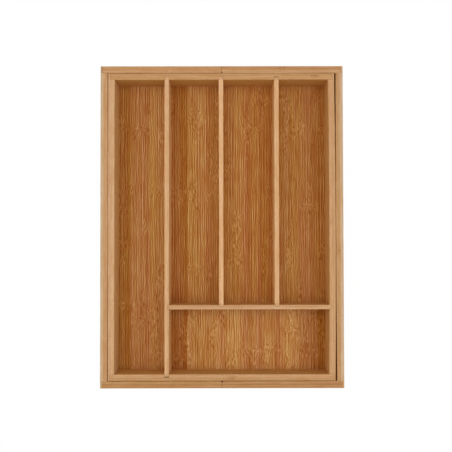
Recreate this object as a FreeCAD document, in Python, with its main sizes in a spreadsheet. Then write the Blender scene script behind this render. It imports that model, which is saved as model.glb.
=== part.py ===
"""Expandable bamboo cutlery tray, closed.

A centre tray with five compartments lies inside two U-shaped side trays. Each side tray slides out
sideways: keys let into the centre tray's long walls run in stopped grooves of the side tray's rails.
The origin is at the bottom centre of the closed tray, +X to the right, +Y to the back and +Z up.
"""

import FreeCAD
import Part
import Sketcher
import math
import os
from types import SimpleNamespace

# Driving sizes in millimetres
SIZES = {
    # The whole tray, closed
    "closed_width": 280,
    "tray_depth": 371,
    "tray_height": 50,
    # Boards
    "outer_board": 8,
    "inner_board": 7.5,
    "divider_board": 5.2,
    "panel_board": 3.5,
    "edge_round": 0.6,
    # Corner rabbets: the lip covers the end of the neighbouring board
    "corner_lip": 2.4,
    # Bottom panels in their grooves
    "panel_rise": 2,
    "panel_groove_depth": 3,
    "panel_play": 0.3,
    "panel_lead_in": 1.2,
    # Gaps between the side trays and the centre tray, which lies a little to the left and the back
    "end_gap": 1.3,
    "centre_shift": 0.55,
    "centre_set_back": 0.12,
    "running_gap": 0.38,
    "lift_gap": 0.3,
    "seam_gap": 0.04,
    "rail_end_ease": 1.4,
    # How far the inner faces of the end walls stand proud in the middle
    "left_wall_bow": 0.5,
    "right_wall_bow": 0.55,
    # How far the centre tray's right wall bends outwards in the middle
    "centre_wall_bow": 1,
    # Compartments and the dadoes that hold their dividers
    "front_compartment": 74.1,
    "long_divider_shift": -0.15,
    "middle_divider_shift": -0.32,
    "right_divider_shift": 0.9,
    "wall_dado": 3.5,
    "divider_dado": 1.8,
    "snug_end_gap": 0.05,
    "long_end_gap": 0.9,
    "short_end_gap": 0.7,
    # Slide keys and the grooves that they run in
    "key_length": 24,
    "key_height": 8,
    "key_thickness": 6,
    "key_let_in": 2,
    "key_inset": 2.6,
    "key_level": 26,
    "key_clearance": 0.3,
    "stop_land": 5.7,
    # Headless pins at the corners
    "pin_radius": 0.8,
    "pin_length": 20,
    "pin_set": 0.4,
    "pin_low": 14,
    "pin_high": 40,
    # Glue line around pins and keys
    "glue_gap": 0.05,
}

COLUMNS = 4
PICK_TOLERANCE = 1e-5
LEFT_RIGHT = FreeCAD.Vector(1, 0, 0)
FRONT_BACK = FreeCAD.Vector(0, 1, 0)
UP = FreeCAD.Vector(0, 0, 1)
QUARTER_TURN = 90

DOC = FreeCAD.newDocument("cutlery_tray")


class Length:
    """A length with the formula behind it: the number lays out a sketch, the formula drives it."""

    def __init__(self, number, formula):
        self.number = number
        self.formula = formula

    def joined(self, number, sign, other):
        return Length(number, f"({self.formula} {sign} {formula_of(other)})")

    def __add__(self, other):
        return self.joined(self.number + number_of(other), "+", other)

    def __sub__(self, other):
        return self.joined(self.number - number_of(other), "-", other)

    def __mul__(self, times):
        return self.joined(self.number * times, "*", times)

    def __truediv__(self, parts):
        return self.joined(self.number / parts, "/", parts)

    def __neg__(self):
        return Length(-self.number, f"(-1 * {self.formula})")


def number_of(length):
    return length.number if isinstance(length, Length) else length


def formula_of(length):
    return length.formula if isinstance(length, Length) else str(length)


def fill_sheet(sizes):
    """Put every driving size in the sheet under its own alias, and give the lengths that read it."""
    sheet = DOC.addObject("Spreadsheet::Sheet", "sizes")
    for row, (alias, size) in enumerate(sizes.items(), start=1):
        sheet.set(f"A{row}", alias)
        sheet.set(f"B{row}", str(size))
        sheet.setAlias(f"B{row}", alias)
    DOC.recompute()
    return SimpleNamespace(**{alias: Length(size, f"sizes.{alias}") for alias, size in sizes.items()})


S = fill_sheet(SIZES)

# Outer frame of the closed tray
half_width = S.closed_width / 2
half_depth = S.tray_depth / 2
outer_tongue = S.outer_board - S.corner_lip
floor_rise = S.panel_rise + S.panel_board
panel_bite = S.panel_groove_depth - S.panel_play
pin_hole_radius = S.pin_radius + S.glue_gap

# Centre tray, which lies on the bottom panels of the side trays
centre_half_width = half_width - S.outer_board - S.end_gap
centre_half_depth = half_depth - S.outer_board - S.running_gap
centre_base = floor_rise + S.lift_gap
centre_height = S.tray_height - centre_base
centre_floor = centre_base + floor_rise
inner_tongue = S.inner_board - S.corner_lip
inner_half_width = centre_half_width - S.inner_board
inner_half_depth = centre_half_depth - S.inner_board
long_wall_length = (centre_half_width - S.corner_lip) * 2

# Compartments: nearly equal columns, and a wide one in front of all but the left column
column_pitch = (inner_half_width * 2 + S.divider_board) / COLUMNS
divider_shifts = {1: S.long_divider_shift, 2: S.middle_divider_shift, 3: S.right_divider_shift}
divider_height = S.tray_height - centre_floor
cross_front = S.front_compartment - inner_half_depth
cross_back = cross_front + S.divider_board

# Slide: the left key starts this far along its rail, and the groove ends one land before the seam
rail_length = half_width - S.corner_lip - S.seam_gap / 2
key_start = S.outer_board + S.end_gap - S.centre_shift + S.key_inset
key_reach = S.key_thickness - S.key_let_in - S.running_gap


def new_body(label):
    body = DOC.addObject("PartDesign::Body", label)
    body.Label = label
    return body


def sketch_on(body, role, shift=None):
    """Empty sketch on one of the body's own origin planes, shifted along that plane's normal."""
    sketch = body.newObject("Sketcher::SketchObject", "Sketch")
    plane = next(feature for feature in body.Origin.OriginFeatures if feature.Role == role)
    sketch.AttachmentSupport = [(plane, "")]
    sketch.MapMode = "FlatFace"
    if shift:
        sketch.setExpression("AttachmentOffset.Base.z", shift.formula)
    return sketch


def flat_point(across, up):
    return FreeCAD.Vector(number_of(across), number_of(up), 0)


def hold(sketch, kind, geometry, point, length):
    """Fix one coordinate of a point: zero on the sketch axis, anything else by its formula."""
    if not isinstance(length, Length):
        axis = -2 if kind == "DistanceX" else -1
        sketch.addConstraint(Sketcher.Constraint("PointOnObject", geometry, point, axis))
        return
    made = sketch.addConstraint(Sketcher.Constraint(kind, -1, 1, geometry, point, length.number))
    sketch.setExpression(f"Constraints[{made}]", length.formula)


def hold_radius(sketch, geometry, radius):
    made = sketch.addConstraint(Sketcher.Constraint("Radius", geometry, radius.number))
    sketch.setExpression(f"Constraints[{made}]", radius.formula)


def add_outline(sketch, points):
    """Closed outline of level and upright lines, the first one level."""
    lines = []
    for here, there in zip(points, points[1:] + points[:1]):
        lines.append(sketch.addGeometry(Part.LineSegment(flat_point(*here), flat_point(*there))))
    for line, following in zip(lines, lines[1:] + lines[:1]):
        sketch.addConstraint(Sketcher.Constraint("Coincident", line, 2, following, 1))
    for turn, (line, (across, up)) in enumerate(zip(lines, points)):
        level = turn % 2 == 0
        sketch.addConstraint(Sketcher.Constraint("Horizontal" if level else "Vertical", line))
        hold(sketch, "DistanceY" if level else "DistanceX", line, 1, up if level else across)


def add_rectangle(sketch, left, low, right, high):
    add_outline(sketch, [(left, low), (right, low), (right, high), (left, high)])


def add_crown(sketch, arc, across, up):
    """Hold an arc by the point in its middle."""
    crown = sketch.addGeometry(Part.Point(flat_point(across, up)), True)
    sketch.addConstraint(Sketcher.Constraint("PointOnObject", crown, 1, arc))
    hold(sketch, "DistanceX", crown, 1, across)
    hold(sketch, "DistanceY", crown, 1, up)


def add_bowed_outline(sketch, length, thickness, inner_bow, outer_bow):
    """Board from above: each long face bends by its own bow in the middle, and zero leaves it straight."""
    corners = [(0, 0), (length, 0), (length, thickness), (0, thickness)]
    sides = []
    for here, there, bow in zip(corners, corners[1:] + corners[:1], (inner_bow, 0, outer_bow, 0)):
        first, last = flat_point(*here), flat_point(*there)
        if bow:
            crown = (length / 2, bow + here[1])
            side = sketch.addGeometry(Part.Arc(first, flat_point(*crown), last))
            add_crown(sketch, side, *crown)
        else:
            side = sketch.addGeometry(Part.LineSegment(first, last))
        sides.append((side, (1, 2) if sketch.getPoint(side, 1).isEqual(first, PICK_TOLERANCE) else (2, 1)))
    for (side, (_, last)), (following, (first, _)) in zip(sides, sides[1:] + sides[:1]):
        sketch.addConstraint(Sketcher.Constraint("Coincident", side, last, following, first))
    for (side, (first, _)), (across, up) in zip(sides, corners):
        hold(sketch, "DistanceX", side, first, across)
        hold(sketch, "DistanceY", side, first, up)


def add_circle(sketch, across, up, radius):
    circle = sketch.addGeometry(Part.Circle(flat_point(across, up), UP, radius.number))
    hold(sketch, "DistanceX", circle, 3, across)
    hold(sketch, "DistanceY", circle, 3, up)
    hold_radius(sketch, circle, radius)


def add_slot(sketch, start, end, level, radius):
    """Level slot with round ends, from its start to its end."""
    centres = (radius + start, end - radius)
    first, last = centres
    low = level - radius
    high = level + radius
    bottom = sketch.addGeometry(Part.LineSegment(flat_point(first, low), flat_point(last, low)))
    top = sketch.addGeometry(Part.LineSegment(flat_point(last, high), flat_point(first, high)))
    arcs = []
    for centre, begin in zip(centres, (math.pi / 2, -math.pi / 2)):
        circle = Part.Circle(flat_point(centre, level), UP, radius.number)
        arcs.append(sketch.addGeometry(Part.ArcOfCircle(circle, begin, begin + math.pi)))
    start_arc, end_arc = arcs
    loop = [bottom, end_arc, top, start_arc]
    for one, following in zip(loop, loop[1:] + loop[:1]):
        sketch.addConstraint(Sketcher.Constraint("Tangent", one, 2, following, 1))
    sketch.addConstraint(Sketcher.Constraint("Horizontal", bottom))
    sketch.addConstraint(Sketcher.Constraint("Equal", start_arc, end_arc))
    hold(sketch, "DistanceX", start_arc, 3, first)
    hold(sketch, "DistanceX", end_arc, 3, last)
    hold(sketch, "DistanceY", start_arc, 3, level)
    hold_radius(sketch, start_arc, radius)


def pad(body, sketch, length, backwards=False):
    feature = body.newObject("PartDesign::Pad", "Pad")
    feature.Profile = sketch
    feature.Reversed = backwards
    feature.setExpression("Length", length.formula)
    DOC.recompute()
    return feature


def pocket(body, sketch, depth, backwards=False):
    """Cut the sketch into the body, and stop the build if the cut takes nothing away."""
    before = body.Shape.Volume
    feature = body.newObject("PartDesign::Pocket", "Pocket")
    feature.Profile = sketch
    feature.Reversed = backwards
    feature.setExpression("Length", depth.formula)
    DOC.recompute()
    if body.Shape.Volume >= before:
        raise RuntimeError(f"a cut in {body.Label} takes nothing away")


def ease_edges(body, kind, measure, size, picked):
    """Fillet or chamfer the edges of the body, in its own frame, that the test picks out."""
    tip = body.Tip
    names = [f"Edge{rank}" for rank, edge in enumerate(tip.Shape.Edges, start=1) if picked(edge.BoundBox)]
    feature = body.newObject(f"PartDesign::{kind}", kind)
    feature.Base = (tip, names)
    feature.setExpression(measure, size.formula)
    DOC.recompute()


def round_edges(body, picked):
    ease_edges(body, "Fillet", "Radius", S.edge_round, picked)


def is_top_edge(box, height):
    """True for an edge that runs along the board at its top."""
    return box.ZMin > height.number - PICK_TOLERANCE and box.XLength > box.YLength


def is_free_top_edge(box, height):
    """True for any top edge but the one across the near end of the board, which meets its neighbour."""
    return box.ZMin > height.number - PICK_TOLERANCE and box.XMax > PICK_TOLERANCE


def is_far_top_edge(box, length, height):
    """True for the top edge across the far end of the board."""
    return box.ZMin > height.number - PICK_TOLERANCE and box.XMin > length.number - PICK_TOLERANCE


def is_far_inner_edge(box, length, rise):
    """True for the upright edge of the inner face, above the panel's groove, at the far end of the board."""
    above = box.ZMin > rise.number - PICK_TOLERANCE
    return above and box.YMax < PICK_TOLERANCE < box.ZLength and box.XMin > length.number - PICK_TOLERANCE


def is_outer_corner(box, thickness):
    """True for an upright edge of the board's outer face."""
    return box.YMin > thickness.number - PICK_TOLERANCE and box.XLength < PICK_TOLERANCE


def place(body, x, y, z, turn=0):
    """Move the body to its place, turned about the vertical first."""
    body.Placement = FreeCAD.Placement(FreeCAD.Vector(), FreeCAD.Rotation(UP, turn))
    for axis, length in (("x", x), ("y", y), ("z", z)):
        if isinstance(length, Length):
            body.setExpression(f"Placement.Base.{axis}", length.formula)


def place_in_centre(body, x, y, z, turn=0):
    """Move a piece of the centre tray to its place, given from the middle of that tray."""
    place(body, x - S.centre_shift, y + S.centre_set_back, z, turn)


def mirrored(source, label, normal):
    copy = DOC.addObject("Part::Mirroring", label)
    copy.Label = label
    copy.Source = source
    copy.Normal = normal
    return copy


def mirrored_in_centre(source, label, normal):
    """Mirror a piece of the centre tray about the middle of that tray."""
    copy = mirrored(source, label, normal)
    copy.setExpression("Base.x", (-S.centre_shift).formula)
    copy.setExpression("Base.y", S.centre_set_back.formula)
    return copy


def grooved_board(label, length, thickness, height):
    """Wall along its own X, inner face at y = 0, with a groove there for the bottom panel."""
    body = new_body(label)
    section = sketch_on(body, "YZ_Plane")
    depth = S.panel_groove_depth
    add_outline(section, [
        (0, 0), (thickness, 0), (thickness, height), (0, height),
        (0, floor_rise), (depth, floor_rise), (depth, S.panel_rise), (0, S.panel_rise),
    ])
    pad(body, section, length)
    return body


def bowed_board(label, length, thickness, height, inner_bow, outer_bow, start):
    """Wall along its own X, inner face at y = 0 but for its bow, with a groove for the bottom panel.

    The groove starts at or before the inner face.
    """
    body = new_body(label)
    plan = sketch_on(body, "XY_Plane")
    add_bowed_outline(plan, length, thickness, inner_bow, outer_bow)
    pad(body, plan, height)
    groove = sketch_on(body, "YZ_Plane")
    add_rectangle(groove, start, S.panel_rise, S.panel_groove_depth, floor_rise)
    pocket(body, groove, length, backwards=True)
    return body


def cut_corner_rabbets(body, length, thickness, tongue, height, start=0):
    """Both ends take the neighbouring board behind a lip; the cut starts at or before the inner face."""
    corners = sketch_on(body, "XY_Plane")
    add_rectangle(corners, 0, start, thickness, tongue)
    add_rectangle(corners, length - thickness, start, length, tongue)
    pocket(body, corners, height, backwards=True)


def cut_end_pin_holes(body, length, tongue, base):
    """Blind holes along the board at both ends, in the middle of the covered tongue."""
    depth = S.pin_set + S.pin_length
    for shift, backwards in ((None, True), (length, False)):
        holes = sketch_on(body, "YZ_Plane", shift)
        for level in (S.pin_low, S.pin_high):
            add_circle(holes, tongue / 2, level - base, pin_hole_radius)
        pocket(body, holes, depth, backwards)


def cut_cross_pin_holes(body, places, thickness, base):
    """Holes through the board's thickness at the given places along it."""
    holes = sketch_on(body, "XZ_Plane")
    for along in places:
        for level in (S.pin_low, S.pin_high):
            add_circle(holes, along, level - base, pin_hole_radius)
    pocket(body, holes, thickness)


def cut_dadoes(body, starts, floor, height, depth):
    """Upright housings for dividers in the board's inner face, open at the top."""
    dadoes = sketch_on(body, "XZ_Plane")
    for start in starts:
        add_rectangle(dadoes, start, floor, start + S.divider_board, height)
    pocket(body, dadoes, depth)


def flat_panel(label, length, width):
    body = new_body(label)
    outline = sketch_on(body, "XY_Plane")
    add_rectangle(outline, 0, 0, length, width)
    pad(body, outline, S.panel_board)
    return body


def end_wall(label, bow):
    """Left end wall of the left side tray, its inner face proud in the middle."""
    start = -bow * 2
    body = bowed_board(label, S.tray_depth, S.outer_board, S.tray_height, -bow, 0, start)
    cut_corner_rabbets(body, S.tray_depth, S.outer_board, outer_tongue, S.tray_height, start)
    cut_end_pin_holes(body, S.tray_depth, outer_tongue, 0)
    round_edges(
        body,
        lambda box: is_top_edge(box, S.tray_height) or is_outer_corner(box, S.outer_board),
    )
    place(body, S.outer_board - half_width, -half_depth, 0, QUARTER_TURN)
    return body


def rail():
    """Back rail of the left side tray, with the stopped groove that its key runs in."""
    body = grooved_board("left_back_rail", rail_length, S.outer_board, S.tray_height)
    groove = sketch_on(body, "XZ_Plane")
    add_slot(
        groove,
        key_start - S.key_clearance,
        rail_length - S.stop_land,
        S.key_level,
        S.key_height / 2 + S.key_clearance,
    )
    pocket(body, groove, key_reach + S.centre_set_back + S.key_clearance)
    cut_cross_pin_holes(body, [outer_tongue / 2], S.outer_board, 0)
    ease_edges(
        body, "Chamfer", "Size", S.rail_end_ease,
        lambda box: is_far_inner_edge(box, rail_length, floor_rise),
    )
    round_edges(
        body,
        lambda box: is_free_top_edge(box, S.tray_height),
    )
    place(body, S.corner_lip - half_width, half_depth - S.outer_board, 0)
    return body


def side_panel():
    """Bottom panel of the left side tray; its edge at the seam is eased to slip under the centre tray."""
    reach = half_width - S.outer_board + panel_bite
    half_span = half_depth - S.outer_board + panel_bite
    length = reach - S.seam_gap / 2
    body = flat_panel("left_bottom_panel", length, half_span * 2)
    ease_edges(
        body, "Chamfer", "Size", S.panel_lead_in,
        lambda box: is_far_top_edge(box, length, S.panel_board),
    )
    place(body, -reach, -half_span, S.panel_rise)
    return body


def centre_side_wall(label, dado_starts, bow):
    """Left wall of the centre tray, bent outwards by its bow, with a dado for each divider that meets it."""
    length = centre_half_depth * 2
    body = bowed_board(label, length, S.inner_board, centre_height, bow, bow, 0)
    cut_corner_rabbets(body, length, S.inner_board, inner_tongue, centre_height)
    cut_end_pin_holes(body, length, inner_tongue, centre_base)
    if dado_starts:
        cut_dadoes(body, dado_starts, floor_rise, centre_height, S.wall_dado)
    round_edges(
        body,
        lambda box: is_top_edge(box, centre_height) or is_outer_corner(box, S.inner_board),
    )
    place_in_centre(body, -inner_half_width, -centre_half_depth, centre_base, QUARTER_TURN)
    return body


def centre_long_wall(label, columns):
    """Back wall of the centre tray, with a dado after each given column and a housing for two keys."""
    body = grooved_board(label, long_wall_length, S.inner_board, centre_height)
    near_end = S.corner_lip - centre_half_width
    starts = [column_face(column) - S.divider_board - near_end for column in columns]
    cut_dadoes(body, starts, floor_rise, centre_height, S.wall_dado)
    housings = sketch_on(body, "XZ_Plane", -S.inner_board)
    first = S.key_inset - S.glue_gap
    width = S.key_length + S.glue_gap * 2
    for start in (first, long_wall_length - first - width):
        add_slot(housings, start, start + width, S.key_level - centre_base, S.key_height / 2 + S.glue_gap)
    pocket(body, housings, S.key_let_in, backwards=True)
    pin_place = inner_tongue / 2
    cut_cross_pin_holes(body, [pin_place, long_wall_length - pin_place], S.inner_board, centre_base)
    round_edges(body, lambda box: is_top_edge(box, centre_height))
    place_in_centre(body, near_end, inner_half_depth, centre_base)
    return body


def centre_panel():
    half_length = inner_half_width + panel_bite
    half_span = inner_half_depth + panel_bite
    body = flat_panel("centre_bottom_panel", half_length * 2, half_span * 2)
    place_in_centre(body, -half_length, -half_span, centre_base + S.panel_rise)
    return body


def divider(label, length):
    """Upright board along its own X, one face at y = 0."""
    body = new_body(label)
    section = sketch_on(body, "YZ_Plane")
    add_rectangle(section, 0, 0, S.divider_board, divider_height)
    pad(body, section, length)
    return body


def column_face(column):
    """Right face of the divider after the given column."""
    return column_pitch * column - inner_half_width + divider_shifts[column]


def long_divider():
    """From wall to wall beside the left column; the cross divider is let into its right face."""
    front_end = S.long_end_gap - S.wall_dado - inner_half_depth
    back_end = inner_half_depth + S.wall_dado - S.snug_end_gap
    body = divider("long_divider", back_end - front_end)
    cut_dadoes(body, [cross_front - front_end], 0, divider_height, S.divider_dado)
    round_edges(body, lambda box: is_top_edge(box, divider_height))
    place_in_centre(body, column_face(1), front_end, centre_floor, QUARTER_TURN)
    return body


def cross_divider():
    """Behind the wide front compartment; the short dividers are let into its back face."""
    left_end = column_face(1) - S.divider_dado
    right_end = inner_half_width + S.wall_dado - S.snug_end_gap
    body = divider("cross_divider", right_end - left_end)
    starts = [right_end - column_face(column) for column in (2, 3)]
    cut_dadoes(body, starts, 0, divider_height, S.divider_dado)
    round_edges(body, lambda box: is_top_edge(box, divider_height))
    place_in_centre(body, right_end, cross_back, centre_floor, 2 * QUARTER_TURN)
    return body


def short_divider(label, column, back_gap):
    """From the cross divider to the back wall, after the given column."""
    front_end = cross_back - S.divider_dado
    back_end = inner_half_depth + S.wall_dado - back_gap
    body = divider(label, back_end - front_end)
    round_edges(body, lambda box: is_top_edge(box, divider_height))
    place_in_centre(body, column_face(column), front_end, centre_floor, QUARTER_TURN)
    return body


def slide_key():
    """Back left key, glued into its housing and standing proud of the centre tray."""
    body = new_body("back_left_key")
    outline = sketch_on(body, "XZ_Plane")
    radius = S.key_height / 2
    add_slot(outline, 0, S.key_length, radius, radius)
    pad(body, outline, S.key_thickness, backwards=True)
    start = S.corner_lip - centre_half_width + S.key_inset
    place_in_centre(body, start, centre_half_depth - S.key_let_in, S.key_level - radius)
    return body


def corner_pins(label, x, y, face):
    """Two pins at the back and two at the front of the middle y, driven in just below the faces."""
    body = new_body(label)
    heads = sketch_on(body, "XZ_Plane", S.pin_set - face)
    for level in (S.pin_low, S.pin_high):
        add_circle(heads, 0, level, S.pin_radius)
    shanks = pad(body, heads, S.pin_length)
    both_ends = body.newObject("PartDesign::Mirrored", "Mirrored")
    both_ends.Originals = [shanks]
    plane = next(feature for feature in body.Origin.OriginFeatures if feature.Role == "XZ_Plane")
    both_ends.MirrorPlane = (plane, [""])
    body.Tip = both_ends
    place(body, x, y, 0)
    return body


def build_side_trays():
    """Left side tray from its own pieces, right side tray as its mirror image but for the wall's bow."""
    back_rail = rail()
    front_rail = mirrored(back_rail, "left_front_rail", FRONT_BACK)
    pins = corner_pins("left_corner_pins", outer_tongue / 2 + S.corner_lip - half_width, 0, half_depth)
    left = [back_rail, front_rail, side_panel(), pins]
    right = [mirrored(piece, piece.Label.replace("left", "right"), LEFT_RIGHT) for piece in left]
    left_wall = end_wall("left_end_wall", S.left_wall_bow)
    right_wall = mirrored(end_wall("right_end_cut", S.right_wall_bow), "right_end_wall", LEFT_RIGHT)
    return [left_wall, *left, right_wall, *right]


def build_centre_tray():
    dado_start = S.inner_board + S.front_compartment
    right_wall_cut = centre_side_wall("right_wall_cut", [dado_start], S.centre_wall_bow)
    front_wall_cut = centre_long_wall("front_wall_cut", [1])
    pin_place = centre_half_width - S.corner_lip - inner_tongue / 2 - S.centre_shift
    right_pins = corner_pins("right_pins", pin_place, S.centre_set_back, centre_half_depth)
    left_pins = mirrored_in_centre(right_pins, "left_pins", LEFT_RIGHT)
    pins = DOC.addObject("Part::Compound", "centre_corner_pins")
    pins.Label = "centre_corner_pins"
    pins.Links = [left_pins, right_pins]
    back_left = slide_key()
    front_left = mirrored_in_centre(back_left, "front_left_key", FRONT_BACK)
    keys = [back_left, front_left]
    keys += [mirrored_in_centre(key, key.Label.replace("left", "right"), LEFT_RIGHT) for key in keys]
    walls = [
        centre_side_wall("centre_left_wall", [], 0),
        mirrored_in_centre(right_wall_cut, "centre_right_wall", LEFT_RIGHT),
        centre_long_wall("centre_back_wall", [1, 2, 3]),
        mirrored_in_centre(front_wall_cut, "centre_front_wall", FRONT_BACK),
    ]
    dividers = [
        long_divider(),
        cross_divider(),
        short_divider("middle_short_divider", 2, S.snug_end_gap),
        short_divider("right_short_divider", 3, S.short_end_gap),
    ]
    return [centre_panel(), *walls, *dividers, *keys, pins]


def check_document(pieces):
    """Stop if any object failed or any piece came out empty or broken."""
    for item in DOC.Objects:
        if "Invalid" in item.State or "Error" in item.State:
            raise RuntimeError(f"{item.Label} failed: {item.State}")
    for piece in pieces:
        if piece.Shape.isNull() or not piece.Shape.isValid() or not piece.Shape.Solids:
            raise RuntimeError(f"{piece.Label} has no sound solid")


def main():
    pieces = build_centre_tray() + build_side_trays()
    DOC.recompute()
    check_document(pieces)
    os.makedirs("parts", exist_ok=True)
    for piece in pieces:
        piece.Shape.exportStep(f"parts/{piece.Label}.step")
        print(piece.Label, len(piece.Shape.Solids), round(piece.Shape.Volume, 1))


main()
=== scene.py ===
"""Looks of the expandable bamboo cutlery tray: boards, plies and strips of bamboo, studio light, camera."""

import math
from collections import namedtuple

import bpy
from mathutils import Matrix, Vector


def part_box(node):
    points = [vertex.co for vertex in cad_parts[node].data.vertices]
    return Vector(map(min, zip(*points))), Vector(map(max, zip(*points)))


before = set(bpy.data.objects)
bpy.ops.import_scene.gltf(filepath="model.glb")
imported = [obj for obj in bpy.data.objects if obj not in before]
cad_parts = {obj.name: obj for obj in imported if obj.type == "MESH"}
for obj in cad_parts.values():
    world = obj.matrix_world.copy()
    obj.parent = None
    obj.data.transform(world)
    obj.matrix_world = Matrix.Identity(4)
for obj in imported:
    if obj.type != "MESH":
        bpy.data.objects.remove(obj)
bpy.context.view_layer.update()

MM = 0.001
MIDDLE = 0.5
AXES = "XYZ"

# Camera, fitted to the tray's rim and floor in the photograph
IMAGE_PIXELS = 452
SENSOR = 36.0
FOCAL_PIXELS = 813.4
CLIP_START = 0.01
CAMERA_PLACE = (3.0 * MM, -24.1 * MM, 986.0 * MM)
CAMERA_TURN = (1.504, -0.101, -0.097)

# Light: a soft sky, a large panel overhead and a softbox on either side
SKY_COLOUR = (1.0, 1.0, 1.0, 1.0)
SKY_STRENGTH = 0.50
PANEL_HEIGHT = 1.9
PANEL_SIZE = 1.5
PANEL_POWER = 6.0
SOFTBOX_PLACE = (0.85, 0.0, 1.4)
SOFTBOX_SIZE = (0.9, 1.4)
SOFTBOX_POWER = 6.4

# Floor of white paper
FLOOR_SIZE = 6.0
FLOOR_DROP = 0.2 * MM
FLOOR_GLOW_SHARE = 0.98
PAPER_MOTTLE = 0.3
PAPER_PALE = (252, 252, 252)
PAPER_DEEP = (250, 250, 249)

# Steel of the pins: its two colours, the size of its drawing marks, and their roughness
STEEL_PALE = (150, 146, 140)
STEEL_DEEP = (120, 116, 110)
DRAWING_MARK = 0.4 * MM
DRAWING_RANGE = (0.3, 0.7)
STEEL_ROUGHNESS = (0.3, 0.5)

# Woods of the plies' edges, as they look in plain light
STRAW = (205, 173, 134)
SAND = (203, 168, 130)
CREAM = (226, 178, 126)
WHEAT = (219, 172, 123)
BISCUIT = (210, 166, 120)
ALMOND = (203, 157, 110)
CARAMEL = (199, 151, 102)
HAZEL = (193, 147, 97)
TOFFEE = (187, 139, 89)
FAWN = (195, 159, 118)
UMBER = (184, 152, 114)

# Woods of the broad faces, from pale strips to deep ones
Wood = namedtuple("Wood", "pale deep")
# Painted light: the dividers' broad faces are paler than their wood, to lift the shade low in the
# compartments
BLOND_WITH_PAINTED_LIGHT = Wood((230, 186, 118), (214, 166, 100))
ASH = Wood((210, 168, 109), (191, 143, 82))
TAN = Wood((212, 165, 108), (193, 143, 88))
HONEY = Wood((208, 160, 90), (189, 135, 66))
PANEL_WOOD = Wood((190, 136, 74), (157, 93, 18))

# Curve from a colour as it is written to its linear light
FULL_CHANNEL = 255
CURVE_KNEE = 0.04045
CURVE_SLOPE = 12.92
CURVE_OFFSET = 0.055
CURVE_POWER = 2.4


def linear(colour):
    """Linear RGBA of a colour given in 0 to 255."""
    def channel(value):
        share = value / FULL_CHANNEL
        if share <= CURVE_KNEE:
            return share / CURVE_SLOPE
        return ((share + CURVE_OFFSET) / (1 + CURVE_OFFSET)) ** CURVE_POWER
    return tuple(channel(value) for value in colour) + (1.0,)


class Graph:
    """Adds nodes to one node tree and links them; an input is a socket or a plain value."""

    def __init__(self, tree):
        self.tree = tree

    def feed(self, socket, source):
        if isinstance(source, bpy.types.NodeSocket):
            self.tree.links.new(source, socket)
        else:
            socket.default_value = source

    def add(self, kind, inputs=None, **settings):
        node = self.tree.nodes.new(kind)
        for name, value in settings.items():
            setattr(node, name, value)
        for key, source in (inputs or {}).items():
            self.feed(node.inputs[key], source)
        return node

    def math(self, operation, *sources):
        return self.add("ShaderNodeMath", dict(enumerate(sources)), operation=operation).outputs[0]

    def plus(self, one, other):
        return self.math("ADD", one, other)

    def minus(self, one, other):
        return self.math("SUBTRACT", one, other)

    def times(self, one, other):
        return self.math("MULTIPLY", one, other)

    def over(self, one, other):
        return self.math("DIVIDE", one, other)

    def size(self, value):
        return self.math("ABSOLUTE", value)

    def larger(self, one, other):
        return self.math("MAXIMUM", one, other)

    def radius(self, one, other):
        """Distance from the origin of a plane."""
        return self.math("SQRT", self.plus(self.times(one, one), self.times(other, other)))

    def clamp(self, value):
        return self.add("ShaderNodeClamp", {0: value}).outputs[0]

    def vector(self, x, y, z):
        return self.add("ShaderNodeCombineXYZ", {0: x, 1: y, 2: z}).outputs[0]

    def split(self, vector):
        return self.add("ShaderNodeSeparateXYZ", {0: vector}).outputs

    def noise(self, x, y, z, detail=1.0, roughness=0.5):
        """Smooth noise whose grains are one unit long."""
        inputs = {"Vector": self.vector(x, y, z), "Scale": 1.0, "Detail": detail, "Roughness": roughness}
        return self.add("ShaderNodeTexNoise", inputs, noise_dimensions="3D").outputs[0]

    def chance(self, x, y, z):
        """Four random shares, the same all over one whole-number cell."""
        inputs = {"Vector": self.vector(x, y, z)}
        node = self.add("ShaderNodeTexWhiteNoise", inputs, noise_dimensions="3D")
        return [node.outputs["Value"], *self.split(node.outputs["Color"])]

    def ramp(self, value, low, high, start=0.0, end=1.0, smooth=True):
        """From start to end while a value goes from low to high."""
        inputs = {"Value": value, "From Min": low, "From Max": high, "To Min": start, "To Max": end}
        kind = "SMOOTHSTEP" if smooth else "LINEAR"
        return self.add("ShaderNodeMapRange", inputs, interpolation_type=kind, clamp=True).outputs[0]

    def between(self, share, start, end):
        """From start to end in a straight line while a share goes from zero to one."""
        return self.ramp(share, 0.0, 1.0, start, end, smooth=False)

    def blend(self, share, one, other, mode="MIX"):
        node = self.add("ShaderNodeMix", data_type="RGBA", blend_type=mode, clamp_result=False)
        for key, source in (("Factor_Float", share), ("A_Color", one), ("B_Color", other)):
            self.feed(next(socket for socket in node.inputs if socket.identifier == key), source)
        return next(socket for socket in node.outputs if socket.identifier == "Result_Color")

    def tint(self, share, colour, tint):
        """A colour that a tint multiplies by the given share."""
        return self.blend(share, colour, tint, "MULTIPLY")


def new_group(name, inputs, outputs):
    """Shader group with float and colour sockets: its graph, its inputs by name and its outputs."""
    tree = bpy.data.node_groups.new(name, "ShaderNodeTree")
    for way, sockets in (("INPUT", inputs), ("OUTPUT", outputs)):
        for socket, kind in sockets.items():
            tree.interface.new_socket(name=socket, in_out=way, socket_type=f"NodeSocket{kind}")
    graph = Graph(tree)
    return graph, graph.add("NodeGroupInput").outputs, graph.add("NodeGroupOutput").inputs


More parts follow.
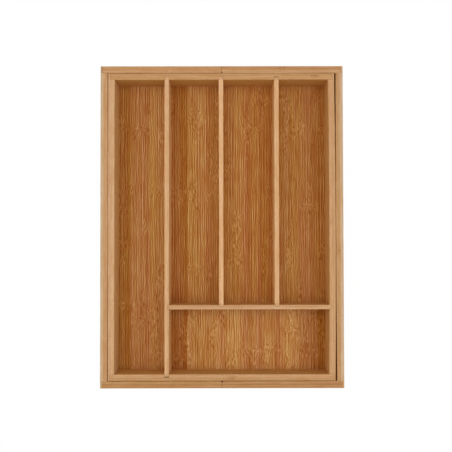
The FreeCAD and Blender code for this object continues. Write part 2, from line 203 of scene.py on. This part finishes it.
# Fibres of bamboo: length and width of one grain in metres, and how much it shows
Fibre = namedtuple("Fibre", "length width strength")
LONG_FIBRE = Fibre(0.200, 0.00095, 0.9)
FINE_FIBRE = Fibre(0.030, 0.00095, 0.98)
SHORT_FIBRE = Fibre(0.012, 0.0009, 0.78)
SPECK = Fibre(0.004, 0.0009, 0.52)
STROKE = Fibre(0.005, 0.0011, 1.85)
FIBRE_WIDTH = 0.0012
COLUMN_STEP = 2.7
NEIGHBOUR_SHARE = 0.5
CALM_IN_STROKES_SHARE = 0.4

# Slow changes of tone, warmth and hue
BAND = Fibre(0.500, 0.0045, 0.62)
CLOUD = Fibre(0.300, 0.012, 0.5)
BLUSH = Fibre(0.250, 0.009, 1.6)
MOTTLE = Fibre(0.016, 0.006, 1.5)
HUE_STREAK = Fibre(0.11, 0.0055, 1.5)

# Stirred patches and knuckles, where the fibres break into strokes
STIR = Fibre(0.045, 0.014, 1.0)
STIR_PATCH = (0.0, 0.14)
NO_STIR = -1.0
KNUCKLE_REACH = 0.013
KNUCKLE_WAVE = Fibre(0.5, 0.007, 0.012)
CROWN_RADIUS = 0.0062
CROWN_REACH = 0.0048
CROWN_FOOT = 0.003
CROWN_STROKE = Fibre(0.0038, 0.00068, 2.8)
CROWN_LINE_WIDTH = 0.0010
CROWN_LINE_LIGHT = 0.14
SWAY = Fibre(0.007, 0.0035, 0.0035)
CALM_SWAY_SHARE = 0.05
PATCH_SWAY_SHARE = 0.2

# Tints, which multiply the colour of the wood, and its gloss
SHADE = (0.70, 0.55, 0.36, 1.0)
SHINE = (1.36, 1.62, 2.2, 1.0)
END_SHADE = (0.72, 0.62, 0.50, 1.0)
LINE_SHADE = (0.62, 0.52, 0.42, 1.0)
PLY_SHADE = (0.86, 0.82, 0.76, 1.0)
ROSE_TINT = (0.98, 0.90, 1.12, 1.0)
AMBER_TINT = (0.99, 0.94, 0.77, 1.0)
GOLD_TINT = (1.0, 1.04, 0.93, 1.0)
PINK_TINT = (1.0, 0.96, 1.07, 1.0)
MOTTLE_SHADE = (0.914, 0.799, 0.667, 1.0)
MOTTLE_SHINE = (1.086, 1.201, 1.333, 1.0)
FIBRE_ROUGHNESS = (0.66, 0.50)
SPECULAR_LEVEL = 0.06
BUMP_DISTANCE = 0.12 * MM
BUMP_STRENGTH = 0.3


def bamboo_group():
    """Colour, roughness and height of bamboo from a place along, across and through the board."""
    graph, given, out = new_group(
        "bamboo",
        {
            "Along": "Float", "Across": "Float", "Through": "Float", "Tone": "Float", "Knuckle": "Float",
            "Contrast": "Float", "End Grain": "Float", "Line": "Float", "Warmth": "Float",
            "Amber": "Float", "Hue": "Float", "Stir": "Float", "Aside": "Float",
            "Pale": "Color", "Deep": "Color",
        },
        {"Color": "Color", "Roughness": "Float", "Height": "Float"},
    )
    along, across, through = given["Along"], given["Across"], given["Through"]
    contrast = given["Contrast"]

    def grain(fibre, sideways=across, lengthways=along):
        """Noise about zero, drawn out along the grain."""
        noise = graph.noise(
            graph.over(lengthways, fibre.length),
            graph.over(sideways, fibre.width),
            graph.over(through, fibre.width),
            detail=0.0,
        )
        return graph.times(graph.minus(noise, MIDDLE), fibre.strength)

    # In stirred patches, and near a knuckle, which runs across its strip in waves, the fibres break into
    # short strokes; near a knuckle they sway too
    rise = graph.plus(given["Knuckle"], CROWN_RADIUS)
    distance = graph.size(graph.plus(rise, grain(KNUCKLE_WAVE)))
    patch = graph.ramp(graph.plus(grain(STIR), given["Stir"]), *STIR_PATCH)
    knuckle = graph.ramp(distance, 0.0, KNUCKLE_REACH, 1.0, 0.0)
    broken = graph.larger(knuckle, patch)
    sway_share = graph.between(patch, CALM_SWAY_SHARE, PATCH_SWAY_SHARE)
    swayed = graph.plus(across, graph.times(grain(SWAY), graph.larger(knuckle, sway_share)))
    column = graph.math("FLOOR", graph.over(swayed, FIBRE_WIDTH))
    columns = (graph.minus(column, 1.0), column, graph.plus(column, 1.0))

    def fibres(fibre):
        """Grain in straight columns less that of the columns beside it, so that no broad bands are left."""
        step = fibre.width * COLUMN_STEP
        before, here, after = (grain(fibre, graph.times(place, step)) for place in columns)
        return graph.minus(here, graph.times(graph.plus(before, after), NEIGHBOUR_SHARE))

    long_grain = graph.plus(fibres(LONG_FIBRE), fibres(FINE_FIBRE))
    calm = graph.plus(long_grain, graph.plus(fibres(SHORT_FIBRE), fibres(SPECK)))
    strokes = graph.plus(grain(STROKE, swayed), graph.times(calm, CALM_IN_STROKES_SHARE))
    streaks = graph.plus(calm, graph.times(broken, graph.minus(strokes, calm)))

    # In the middle of its strip a knuckle has a crown of strokes that fan out from a centre below it
    aside = given["Aside"]
    radius = graph.radius(rise, aside)
    turn = graph.math("ARCTAN2", aside, rise)
    from_crown = graph.size(graph.minus(radius, CROWN_RADIUS))
    ring = graph.ramp(from_crown, 0.0, CROWN_REACH, 1.0, 0.0)
    crown = graph.times(ring, graph.ramp(rise, 0.0, CROWN_FOOT))
    centre = graph.plus(graph.minus(along, given["Knuckle"]), graph.minus(across, aside))
    fan = grain(CROWN_STROKE, graph.times(turn, CROWN_RADIUS), graph.plus(radius, centre))
    fan = graph.plus(fan, graph.ramp(from_crown, 0.0, CROWN_LINE_WIDTH, CROWN_LINE_LIGHT, 0.0))
    streaks = graph.plus(streaks, graph.times(crown, graph.minus(fan, streaks)))
    light = graph.plus(MIDDLE, graph.times(streaks, contrast))

    # The wood of the strip with its slow changes, then its fibres, glue line and end grain
    drift = graph.times(graph.plus(grain(BAND), grain(CLOUD)), contrast)
    wood = graph.blend(graph.clamp(graph.plus(given["Tone"], drift)), given["Pale"], given["Deep"])
    warmth = graph.clamp(graph.times(graph.plus(given["Warmth"], grain(BLUSH)), contrast))
    wood = graph.tint(warmth, wood, ROSE_TINT)
    wood = graph.tint(given["Amber"], wood, AMBER_TINT)
    hue = graph.clamp(graph.plus(MIDDLE, graph.times(grain(HUE_STREAK), given["Hue"])))
    wood = graph.tint(1.0, wood, graph.blend(hue, GOLD_TINT, PINK_TINT))
    mottle = graph.clamp(graph.plus(MIDDLE, graph.times(grain(MOTTLE), contrast)))
    wood = graph.tint(1.0, wood, graph.blend(mottle, MOTTLE_SHADE, MOTTLE_SHINE))
    shade, shine = (graph.tint(1.0, wood, tint) for tint in (SHADE, SHINE))
    colour = graph.blend(graph.ramp(light, 0.0, MIDDLE, smooth=False), shade, wood)
    colour = graph.blend(graph.ramp(light, MIDDLE, 1.0, smooth=False), colour, shine)
    colour = graph.tint(given["Line"], colour, LINE_SHADE)
    colour = graph.tint(given["End Grain"], colour, END_SHADE)
    graph.feed(out["Color"], colour)
    graph.feed(out["Roughness"], graph.between(light, *FIBRE_ROUGHNESS))
    graph.feed(out["Height"], light)
    return graph.tree


# Strips of the walls: width, distance of knuckles, shift from ply to ply, tones, and reach of a glue line
WALL_STRIP = 21 * MM
WALL_SPACING = 0.29
PLY_SHIFT_SHARE = 0.37
STRIP_TONES = (0.2, 0.6)
GLUE_LINE = (0.1 * MM, 0.6 * MM)


def strips_group():
    """Strips glued side by side in plies: tone, warmth, ply, place by the nearest knuckle, glue line."""
    graph, given, out = new_group(
        "strips",
        {
            "Along": "Float", "Across": "Float", "Through": "Float", "Ply": "Float", "Seed": "Float",
            "Glue": "Float",
        },
        {
            "Tone": "Float", "Warmth": "Float", "Inner": "Float", "Knuckle": "Float", "Aside": "Float",
            "Line": "Float",
        },
    )
    ply = graph.math("FLOOR", graph.over(given["Through"], given["Ply"]))
    strips = graph.plus(graph.over(given["Across"], WALL_STRIP), graph.times(ply, PLY_SHIFT_SHARE))
    strip = graph.math("FLOOR", strips)
    first, second, third, fourth = graph.chance(strip, ply, given["Seed"])
    spots = graph.plus(graph.over(given["Along"], WALL_SPACING), graph.plus(second, third))
    to_border = graph.size(graph.minus(given["Through"], given["Ply"]))

    def from_middle(count, length):
        """Distance from the middle of a cell, given the count of cells and the length of one."""
        return graph.times(graph.minus(graph.math("FRACT", count), MIDDLE), length)

    graph.feed(out["Tone"], graph.between(first, *STRIP_TONES))
    graph.feed(out["Warmth"], fourth)
    graph.feed(out["Inner"], graph.clamp(ply))
    graph.feed(out["Knuckle"], from_middle(spots, WALL_SPACING))
    graph.feed(out["Aside"], from_middle(strips, WALL_STRIP))
    graph.feed(out["Line"], graph.times(graph.ramp(to_border, *GLUE_LINE, 1.0, 0.0), given["Glue"]))
    return graph.tree


BAMBOO = bamboo_group()
STRIPS = strips_group()

# A board: axis of its grain, axis across its strips, axis through it with the side of its first ply,
# the woods of its first and second ply, the thickness of the first ply, its glue line and a seed
Board = namedtuple("Board", "grain across through side outer inner ply glue seed")
SEED_STEP = 1.37
EDGE_CONTRAST = 0.25
FACE_CONTRAST = 0.6
FACING = (0.6, 0.9)
BOARDS = {
    "left_end_wall": Board("Y", "Z", "X", "low", STRAW, CARAMEL, 3.5 * MM, 0.1, 11),
    "right_end_wall": Board("Y", "Z", "X", "high", SAND, HAZEL, 3.7 * MM, 0.1, 12),
    "left_back_rail": Board("X", "Z", "Y", "high", CARAMEL, CARAMEL, 3.4 * MM, 0.6, 13),
    "right_back_rail": Board("X", "Z", "Y", "high", TOFFEE, ALMOND, 4.2 * MM, 0.1, 14),
    "left_front_rail": Board("X", "Z", "Y", "low", TOFFEE, TOFFEE, 4.4 * MM, 0.5, 15),
    "right_front_rail": Board("X", "Z", "Y", "low", TOFFEE, TOFFEE, 4.4 * MM, 0.5, 16),
    "centre_left_wall": Board("Y", "Z", "X", "low", BISCUIT, BISCUIT, 3.5 * MM, 0.1, 17),
    "centre_right_wall": Board("Y", "Z", "X", "high", ALMOND, ALMOND, 3.5 * MM, 0.1, 18),
    "centre_back_wall": Board("X", "Z", "Y", "high", HAZEL, CARAMEL, 2.6 * MM, 0.1, 19),
    "centre_front_wall": Board("X", "Z", "Y", "low", HAZEL, ALMOND, 3.5 * MM, 0.1, 20),
    "long_divider": Board("Y", "Z", "X", "low", WHEAT, BISCUIT, 2.6 * MM, 0.0, 21),
    "middle_short_divider": Board("Y", "Z", "X", "low", CREAM, CREAM, 2.6 * MM, 0.0, 22),
    "right_short_divider": Board("Y", "Z", "X", "low", WHEAT, WHEAT, 2.6 * MM, 0.0, 23),
    "cross_divider": Board("X", "Z", "Y", "low", BISCUIT, ALMOND, 2.6 * MM, 0.0, 24),
    "back_left_key": Board("X", "Z", "Y", "high", CARAMEL, BISCUIT, 3 * MM, 0.1, 25),
    "back_right_key": Board("X", "Z", "Y", "high", CARAMEL, BISCUIT, 3 * MM, 0.1, 26),
    "front_left_key": Board("X", "Z", "Y", "low", CARAMEL, BISCUIT, 3 * MM, 0.1, 27),
    "front_right_key": Board("X", "Z", "Y", "low", CARAMEL, BISCUIT, 3 * MM, 0.1, 28),
}

# Boards whose broad faces aren't the honey of the others
FACES = {
    "left_end_wall": TAN,
    "left_front_rail": TAN,
    "left_back_rail": TAN,
    "right_end_wall": TAN,
    "right_front_rail": TAN,
    "right_back_rail": TAN,
    "centre_left_wall": ASH,
    # The dividers' faces carry painted light: paler than their wood, against the shade in the compartments
    "long_divider": BLOND_WITH_PAINTED_LIGHT,
    "middle_short_divider": BLOND_WITH_PAINTED_LIGHT,
    "right_short_divider": BLOND_WITH_PAINTED_LIGHT,
}

# Boards whose tips take on the colour of the boards that they meet: how far the tips reach, and their woods
# at the low and the high end of the grain's axis
Tips = namedtuple("Tips", "reach low high")
TIP_BLUR = 0.4 * MM
DIVIDER_TIPS = Tips(3.5 * MM, ALMOND, ALMOND)
TIPS = {
    "left_end_wall": Tips(8 * MM, STRAW, UMBER),
    "right_end_wall": Tips(8 * MM, ALMOND, FAWN),
    "long_divider": DIVIDER_TIPS,
    "cross_divider": DIVIDER_TIPS,
    "middle_short_divider": DIVIDER_TIPS,
    "right_short_divider": DIVIDER_TIPS,
}

# Boards with a node mark on their edges: its place along the grain, its depth below the face of the first
# ply, and how dark it is
EdgeMark = namedtuple("EdgeMark", "along depth shade")
MARK_LENGTH = 2.8 * MM
MARK_WIDTH = 1.3 * MM
MARK_RING_SHARE = 0.6
MARK_WAVE = Fibre(2.6 * MM, 1.3 * MM, 3.2)
EDGE_MARKS = {
    "centre_front_wall": EdgeMark(11.5 * MM, 3.4 * MM, 0.95),
    "centre_back_wall": EdgeMark(107 * MM, 3.6 * MM, 0.95),
    "right_back_rail": EdgeMark(70 * MM, 2.6 * MM, 0.4),
    "centre_left_wall": EdgeMark(-56 * MM, 3.4 * MM, 0.4),
    "centre_right_wall": EdgeMark(6 * MM, 5 * MM, 0.5),
    "right_end_wall": EdgeMark(-29 * MM, 5 * MM, 0.5),
}

# Bottom panels, each of a single ply whose two woods are those of its pale and its deep strips
CENTRE_PANEL = "centre_bottom_panel"
PANELS = {
    CENTRE_PANEL: Board("Y", "X", "Z", "low", *PANEL_WOOD, 4 * MM, 0.0, 29),
    "left_bottom_panel": Board("Y", "X", "Z", "low", *PANEL_WOOD, 4 * MM, 0.0, 30),
    "right_bottom_panel": Board("Y", "X", "Z", "low", *PANEL_WOOD, 4 * MM, 0.0, 31),
}
PANEL_CONTRAST = 0.85

# Strips of the centre panel from left to right: tone behind and in front of the cross divider, warmth,
# amber behind the cross divider, and the places of two knuckles in millimetres from the middle. Next to the
# middle and right short dividers, which stand only behind the cross divider, the deeper tone behind is
# painted shade of those dividers and the narrow compartments; the rest is the strips' own tone
Strip = namedtuple("Strip", "tone front_tone warmth amber knuckles")
FIRST_STRIP_WIDTH = 16.7 * MM
STRIP_WIDTH = 22.4 * MM
FLOOR_STRIPS = [
    Strip(0.66, 0.74, 0.3, 0.0, (25, -90)),
    Strip(0.34, 0.42, 0.8, 0.0, (120, -110)),
    Strip(0.22, 0.26, 0.2, 0.1, (45, -150)),
    Strip(0.72, 0.80, 0.9, 0.0, (45, -152)),
    Strip(0.17, 0.10, 0.1, 0.0, (139, -45)),
    Strip(0.42, 0.15, 0.6, 0.6, (42, -210)),
    Strip(0.28, 0.08, 0.1, 0.3, (-32, -230)),
    Strip(0.44, 0.34, 0.8, 0.7, (121, -146)),
    Strip(0.50, 0.26, 0.6, 1.0, (158, -141)),
    Strip(0.46, 0.20, 0.3, 0.0, (122, -120)),
    Strip(0.50, 0.50, 0.8, 0.0, (27, -144)),
    Strip(0.48, 0.87, 0.4, 0.8, (121, -29)),
]

# Where the look of the centre panel changes along its grain, and its contrast and stir in the front
# compartment and in the calmer columns
# Behind this change the strips' tones hold painted shade beside the short dividers
STRIP_CHANGE = (-100 * MM, -85 * MM)
CENTRE_CONTRAST = (1.05, PANEL_CONTRAST)
CENTRE_STIR = (-0.02, -0.055)


def new_material(name):
    material = bpy.data.materials.new(name)
    material.use_nodes = True
    material.node_tree.nodes.clear()
    graph = Graph(material.node_tree)
    return material, graph


def finish_material(graph, surface):
    graph.add("ShaderNodeOutputMaterial", {"Surface": surface})


def board_places(graph, node, board):
    """Sockets for the place along, across and through a board, its end grain and its broad faces."""
    low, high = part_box(node)
    coordinates = graph.add("ShaderNodeTexCoord")
    place = dict(zip(AXES, graph.split(coordinates.outputs["Object"])))
    facing = dict(zip(AXES, graph.split(coordinates.outputs["Normal"])))
    axis = AXES.index(board.through)
    if board.side == "low":
        through = graph.minus(place[board.through], low[axis])
    else:
        through = graph.minus(high[axis], place[board.through])
    end_grain = graph.ramp(graph.size(facing[board.grain]), *FACING)
    broad_face = graph.ramp(graph.size(facing[board.through]), *FACING)
    places = {
        "Along": place[board.grain], "Across": place[board.across], "Through": through,
        "End Grain": end_grain,
    }
    return places, broad_face


def random_strips(graph, board, places):
    """Looks of a board whose strips come in no special order, and which of its plies is an inner one."""
    inputs = {key: places[key] for key in ("Along", "Across", "Through")}
    inputs.update({"Ply": board.ply, "Seed": float(board.seed), "Glue": board.glue})
    strips = graph.add("ShaderNodeGroup", node_tree=STRIPS)
    for key, source in inputs.items():
        graph.feed(strips.inputs[key], source)
    looks = {key: strips.outputs[key] for key in ("Tone", "Warmth", "Knuckle", "Aside", "Line")}
    return {**looks, "Stir": NO_STIR}, strips.outputs["Inner"]


def strip_table(graph, share, width, rows):
    """Three values of the strip that a share of the panel's width falls in."""
    table = graph.add("ShaderNodeValToRGB", {0: share})
    table.color_ramp.interpolation = "CONSTANT"
    stops = table.color_ramp.elements
    stops.remove(stops[1])
    for rank, row in enumerate(rows):
        edge = FIRST_STRIP_WIDTH + STRIP_WIDTH * (rank - 1)
        stop = stops.new(edge / width) if rank else stops[0]
        stop.color = (*row, 1.0)
    return graph.add("ShaderNodeSeparateColor", {0: table.outputs[0]}).outputs


def chosen_strips(graph, node, places):
    """Looks of the centre panel, whose strips are listed one by one."""
    low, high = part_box(node)
    width = high[0] - low[0]
    length = high[1] - low[1]
    across = graph.over(graph.minus(places["Across"], low[0]), width)
    along = graph.over(graph.minus(places["Along"], low[1]), length)
    looks = [(strip.tone, strip.front_tone, strip.warmth) for strip in FLOOR_STRIPS]
    spots = [
        (*(MIDDLE + spot * MM / length for spot in strip.knuckles), strip.amber) for strip in FLOOR_STRIPS
    ]
    tone, front_tone, warmth = strip_table(graph, across, width, looks)
    back, front, amber = strip_table(graph, across, width, spots)
    # Behind the cross divider the tone holds painted shade beside the short dividers; in front of it, the
    # strips' own tone
    behind = graph.ramp(places["Along"], *STRIP_CHANGE)
    tone = graph.plus(front_tone, graph.times(behind, graph.minus(tone, front_tone)))
    to_back, to_front = (graph.size(graph.minus(along, spot)) for spot in (back, front))
    nearer_front = graph.math("LESS_THAN", to_front, to_back)
    spot = graph.plus(back, graph.times(nearer_front, graph.minus(front, back)))
    strips = graph.over(graph.minus(places["Across"], low[0] + FIRST_STRIP_WIDTH), STRIP_WIDTH)
    aside = graph.times(graph.minus(graph.math("FRACT", strips), MIDDLE), STRIP_WIDTH)
    left_column = graph.math("LESS_THAN", places["Across"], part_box("long_divider")[0][0])
    calm = graph.larger(behind, left_column)
    return {
        "Tone": tone, "Warmth": warmth, "Amber": graph.times(amber, behind), "Hue": calm,
        "Knuckle": graph.times(graph.minus(along, spot), length), "Aside": aside, "Line": 0.0,
        "Stir": graph.between(calm, *CENTRE_STIR), "Contrast": graph.between(calm, *CENTRE_CONTRAST),
    }


def bamboo_surface(graph, inputs, seed):
    """Finish a material with bamboo, given what its group needs."""
    shifted = graph.plus(inputs["Along"], seed * SEED_STEP)
    wood = graph.add("ShaderNodeGroup", node_tree=BAMBOO)
    for key, source in {**inputs, "Along": shifted}.items():
        graph.feed(wood.inputs[key], source)
    bump = graph.add("ShaderNodeBump", {
        "Strength": BUMP_STRENGTH, "Distance": BUMP_DISTANCE, "Height": wood.outputs["Height"],
    })
    surface = graph.add("ShaderNodeBsdfPrincipled", {
        "Base Color": wood.outputs["Color"], "Roughness": wood.outputs["Roughness"],
        "Specular IOR Level": SPECULAR_LEVEL, "Normal": bump.outputs[0],
    })
    finish_material(graph, surface.outputs[0])


def with_tips(graph, node, board, along, wood):
    """The wood of a board's edges, with other woods at its two tips."""
    axis = AXES.index(board.grain)
    low, high = (corner[axis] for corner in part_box(node))
    tips = TIPS[node]
    for to_end, tip in ((graph.minus(along, low), tips.low), (graph.minus(high, along), tips.high)):
        share = graph.ramp(to_end, tips.reach - TIP_BLUR, tips.reach + TIP_BLUR, 1.0, 0.0)
        wood = graph.blend(share, wood, linear(tip))
    return wood


def edge_mark(graph, mark, places, broad_face):
    """Darkness of a node mark on a board's edges: a wavy eye, drawn out along the grain."""
    along, through = places["Along"], places["Through"]
    ahead = graph.over(graph.minus(along, mark.along), MARK_LENGTH)
    aside = graph.over(graph.minus(through, mark.depth), MARK_WIDTH)
    waves = (graph.over(along, MARK_WAVE.length), graph.over(through, MARK_WAVE.width))
    wave = graph.times(graph.minus(graph.noise(*waves, mark.along), MIDDLE), MARK_WAVE.strength)
    from_ring = graph.size(graph.minus(graph.plus(graph.radius(ahead, aside), wave), 1.0))
    ring = graph.ramp(from_ring, 0.0, MARK_RING_SHARE, mark.shade, 0.0)
    return graph.times(ring, graph.minus(1.0, broad_face))


def wall_material(node, board):
    """Plies show on the edges of a wall, and strips on its broad faces."""
    material, graph = new_material(f"bamboo_{node}")
    places, broad_face = board_places(graph, node, board)
    strips, inner = random_strips(graph, board, places)
    ply = graph.blend(inner, linear(board.outer), linear(board.inner))
    if node in TIPS:
        ply = with_tips(graph, node, board, places["Along"], ply)
    if node in EDGE_MARKS:
        mark = edge_mark(graph, EDGE_MARKS[node], places, broad_face)
        strips["Line"] = graph.larger(strips["Line"], mark)
    face = FACES.get(node, HONEY)
    looks = {
        "Pale": graph.blend(broad_face, ply, linear(face.pale)),
        "Deep": graph.blend(broad_face, graph.tint(1.0, ply, PLY_SHADE), linear(face.deep)),
        "Contrast": graph.between(broad_face, EDGE_CONTRAST, FACE_CONTRAST),
    }
    bamboo_surface(graph, {**looks, **places, **strips}, board.seed)
    return material


def panel_material(node, board):
    """Bottom panel with strips side by side."""
    material, graph = new_material(f"bamboo_{node}")
    places, _ = board_places(graph, node, board)
    if node == CENTRE_PANEL:
        strips = chosen_strips(graph, node, places)
    else:
        strips, _ = random_strips(graph, board, places)
    looks = {"Pale": linear(board.outer), "Deep": linear(board.inner), "Contrast": PANEL_CONTRAST}
    bamboo_surface(graph, {**looks, **places, **strips}, board.seed)
    return material


def steel_material():
    """Bright wire with fine drawing marks."""
    material, graph = new_material("pin_steel")
    place = graph.split(graph.add("ShaderNodeTexCoord").outputs["Object"])
    marks = graph.noise(*(graph.over(axis, DRAWING_MARK) for axis in place))
    surface = graph.add("ShaderNodeBsdfPrincipled", {
        "Base Color": graph.blend(marks, linear(STEEL_DEEP), linear(STEEL_PALE)),
        "Metallic": 1.0,
        "Roughness": graph.ramp(marks, *DRAWING_RANGE, *STEEL_ROUGHNESS),
    })
    finish_material(graph, surface.outputs[0])
    return material


def dress(node, material):
    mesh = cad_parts[node].data
    mesh.materials.clear()
    mesh.materials.append(material)


def dress_tray():
    for node, board in BOARDS.items():
        dress(node, wall_material(node, board))
    for node, board in PANELS.items():
        dress(node, panel_material(node, board))
    steel = steel_material()
    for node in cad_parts:
        if node.endswith("pins"):
            dress(node, steel)


def seen_directly(graph):
    """One for rays that show the backdrop itself: from the camera, or by way of gloss or glass."""
    path = graph.add("ShaderNodeLightPath").outputs
    glossy = graph.larger(path["Is Camera Ray"], path["Is Glossy Ray"])
    return graph.larger(glossy, path["Is Transmission Ray"])


def make_floor():
    """White floor under the tray, which glows to the camera but keeps a faint shadow."""
    half = FLOOR_SIZE / 2
    mesh = bpy.data.meshes.new("floor")
    corners = [(x * half, y * half, -FLOOR_DROP) for x, y in ((-1, -1), (1, -1), (1, 1), (-1, 1))]
    mesh.from_pydata(corners, [], [(0, 1, 2, 3)])
    floor = bpy.data.objects.new("floor", mesh)
    bpy.context.scene.collection.objects.link(floor)
    material, graph = new_material("floor_paper")
    place = graph.split(graph.add("ShaderNodeTexCoord").outputs["Object"])
    mottle = graph.noise(*(graph.over(axis, PAPER_MOTTLE) for axis in place))
    paper = graph.blend(mottle, linear(PAPER_DEEP), linear(PAPER_PALE))
    matte = graph.add("ShaderNodeBsdfDiffuse", {"Color": paper})
    glow = graph.add("ShaderNodeEmission", {"Strength": 1.0})
    share = graph.times(seen_directly(graph), FLOOR_GLOW_SHARE)
    mixed = graph.add("ShaderNodeMixShader", {0: share, 1: matte.outputs[0], 2: glow.outputs[0]})
    finish_material(graph, mixed.outputs[0])
    mesh.materials.append(material)


def add_lamp(name, place, size, power):
    """Square-edged lamp that faces the tray."""
    lamp = bpy.data.lights.new(name, "AREA")
    lamp.energy = power
    lamp.shape = "RECTANGLE"
    lamp.size, lamp.size_y = size
    panel = bpy.data.objects.new(name, lamp)
    panel.location = place
    panel.rotation_euler = Vector(place).to_track_quat("Z", "Y").to_euler()
    bpy.context.scene.collection.objects.link(panel)


def make_light():
    scene = bpy.context.scene
    scene.world = bpy.data.worlds.new("studio")
    scene.world.use_nodes = True
    graph = Graph(scene.world.node_tree)
    graph.tree.nodes.clear()
    strength = graph.between(seen_directly(graph), SKY_STRENGTH, 1.0)
    sky = graph.add("ShaderNodeBackground", {"Color": SKY_COLOUR, "Strength": strength})
    graph.add("ShaderNodeOutputWorld", {"Surface": sky.outputs[0]})
    add_lamp("overhead_panel", (0.0, 0.0, PANEL_HEIGHT), (PANEL_SIZE, PANEL_SIZE), PANEL_POWER)
    x, y, z = SOFTBOX_PLACE
    add_lamp("left_softbox", (-x, y, z), SOFTBOX_SIZE, SOFTBOX_POWER)
    add_lamp("right_softbox", (x, y, z), SOFTBOX_SIZE, SOFTBOX_POWER)


def make_camera():
    data = bpy.data.cameras.new("camera")
    data.sensor_width = SENSOR
    data.lens = FOCAL_PIXELS / IMAGE_PIXELS * SENSOR
    data.clip_start = CLIP_START
    camera = bpy.data.objects.new("camera", data)
    camera.location = CAMERA_PLACE
    camera.rotation_euler = [math.radians(turn) for turn in CAMERA_TURN]
    bpy.context.scene.collection.objects.link(camera)
    bpy.context.scene.camera = camera


dress_tray()
make_floor()
make_light()
make_camera()
bpy.context.scene.view_settings.view_transform = "Standard"
